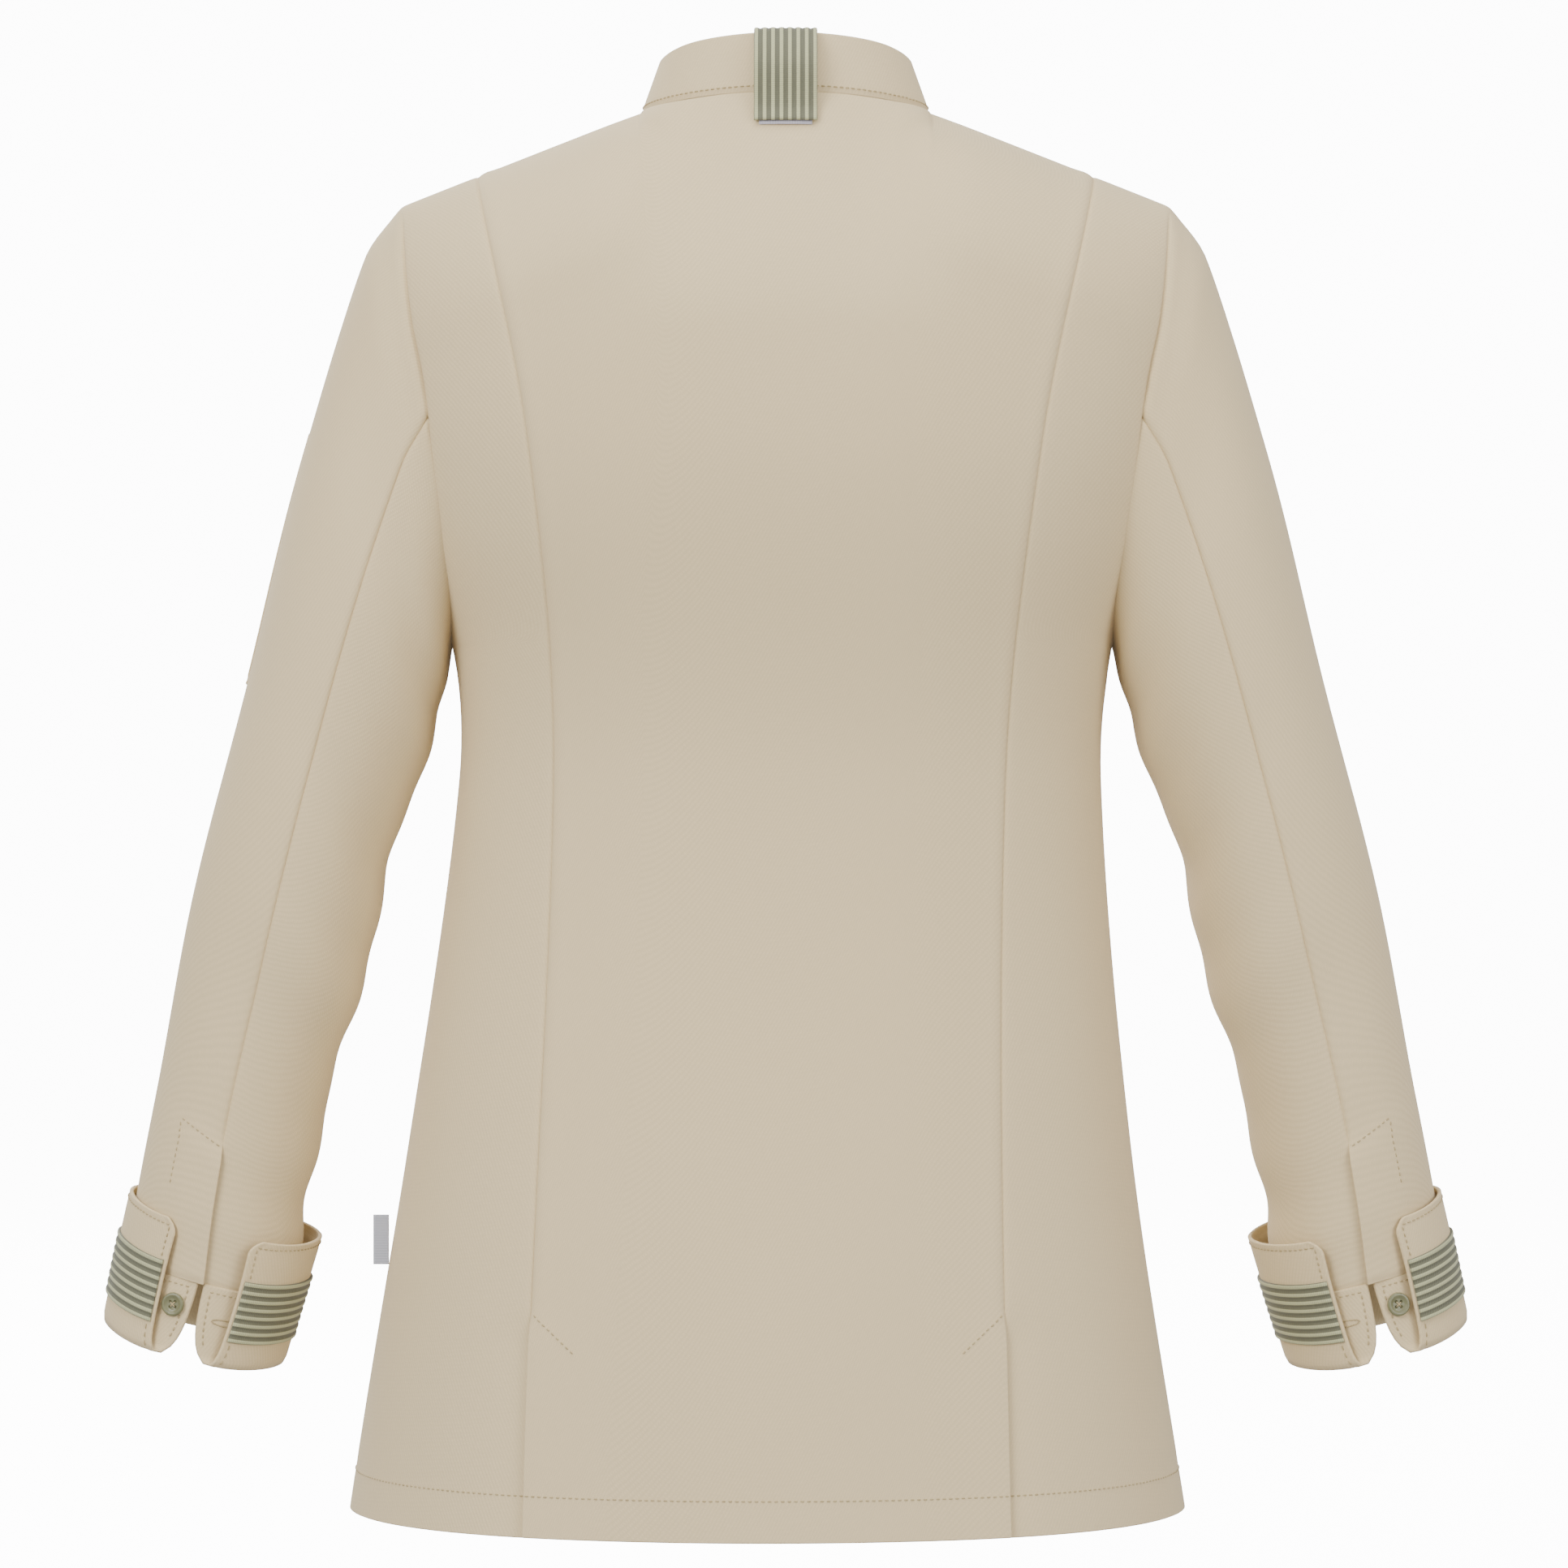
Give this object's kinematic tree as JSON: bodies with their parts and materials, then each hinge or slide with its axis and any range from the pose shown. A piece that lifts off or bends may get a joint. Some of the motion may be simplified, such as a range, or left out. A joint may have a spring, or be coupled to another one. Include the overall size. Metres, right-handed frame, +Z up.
{
  "type": "work jacket",
  "caption": "Long-sleeved stand-collar twill work jacket with princess seams, two back vents, turned-back ribboned cuffs, a ribbon loop at the nape and a studded front.",
  "frame": {"origin": "centre of the neck opening, at the height of the collar seam at the centre back", "axes": "+Z up, +X towards the wearer's left, the front faces -Y"},
  "size_m": [0.659, 0.274, 0.7089],
  "materials": {
    "twill": "matt beige cotton twill",
    "twill_inside": "matt beige twill, inside",
    "striped_ribbon": "ribbed ribbon, sage and grey green stripes",
    "lilac_tape": "matt lilac grey tape",
    "label_weave": "woven tag, blank",
    "olive_plastic": "satin olive",
    "stud_metal": "dull nickel"
  },
  "bodies": {
    "torso": {"back_centre_panel": "twill", "collar_outer": "twill", "collar_lining": "twill_inside", "back_neck_facing": "twill_inside", "loop_anchor": "striped_ribbon", "loop_backing": "lilac_tape", "loop_post": "stud_metal", "hanger_loop": "lilac_tape", "vent_facing_left": "twill_inside", "back_side_panel_left": "twill", "front_side_panel_left": "twill", "vent_facing_right": "twill_inside", "back_side_panel_right": "twill", "front_side_panel_right": "twill"},
    "left_sleeve": {"top_sleeve_left": "twill", "under_sleeve_left": "twill", "sleeve_placket_left": "twill_inside", "cuff_band_left": "twill", "cuff_ribbon_left": "striped_ribbon", "cuff_button_left": "olive_plastic", "pen_pocket": "twill"},
    "right_sleeve": {"top_sleeve_right": "twill", "under_sleeve_right": "twill", "sleeve_placket_right": "twill_inside", "cuff_band_right": "twill", "cuff_ribbon_right": "striped_ribbon", "cuff_button_right": "olive_plastic"},
    "right_front": {"front_centre_panel_right": "twill", "front_facing_right": "twill_inside", "front_cap_1": "olive_plastic", "front_cap_2": "olive_plastic", "front_cap_3": "olive_plastic", "front_cap_4": "olive_plastic", "front_cap_5": "olive_plastic", "front_cap_6": "olive_plastic"},
    "left_front": {"front_centre_panel_left": "twill", "front_facing_left": "twill_inside", "front_stud_1": "stud_metal", "front_stud_2": "stud_metal", "front_stud_3": "stud_metal", "front_stud_4": "stud_metal", "front_stud_5": "stud_metal", "front_stud_6": "stud_metal"},
    "collar_loop": {"collar_loop": "striped_ribbon"},
    "side_label": {"side_label": "label_weave"}
  },
  "joints": [
    {"name": "left_sleeve_raise", "type": "hinge", "parent": "torso", "child": "left_sleeve", "pos_m": [0.186, 0, -0.049], "axis": [0, -1, 0], "range_deg": [0, 50]},
    {"name": "right_sleeve_raise", "type": "hinge", "parent": "torso", "child": "right_sleeve", "pos_m": [-0.186, 0, -0.049], "axis": [0, 1, 0], "range_deg": [0, 50]},
    {"name": "right_front_open", "type": "hinge", "parent": "torso", "child": "right_front", "pos_m": [-0.0914, -0.113, -0.19], "axis": [-0.0074, -0.0328, -0.9994], "range_deg": [0, 60]},
    {"name": "left_front_open", "type": "hinge", "parent": "torso", "child": "left_front", "pos_m": [0.0926, -0.113, -0.19], "axis": [-0.0417, 0.0327, 0.9986], "range_deg": [0, 31]},
    {"name": "loop_lift", "type": "hinge", "parent": "torso", "child": "collar_loop", "pos_m": [0, 0.0513, 0.0299], "axis": [1, 0, 0], "range_deg": [0, 90]},
    {"name": "label_flip", "type": "hinge", "parent": "torso", "child": "side_label", "pos_m": [0.1924, 0, -0.55], "axis": [0, 0, 1], "range_deg": [-65, 65]}
  ],
  "couplings": [
    {"joint": "left_front_open", "follows": "right_front_open", "ratio": 0.5}
  ]
}
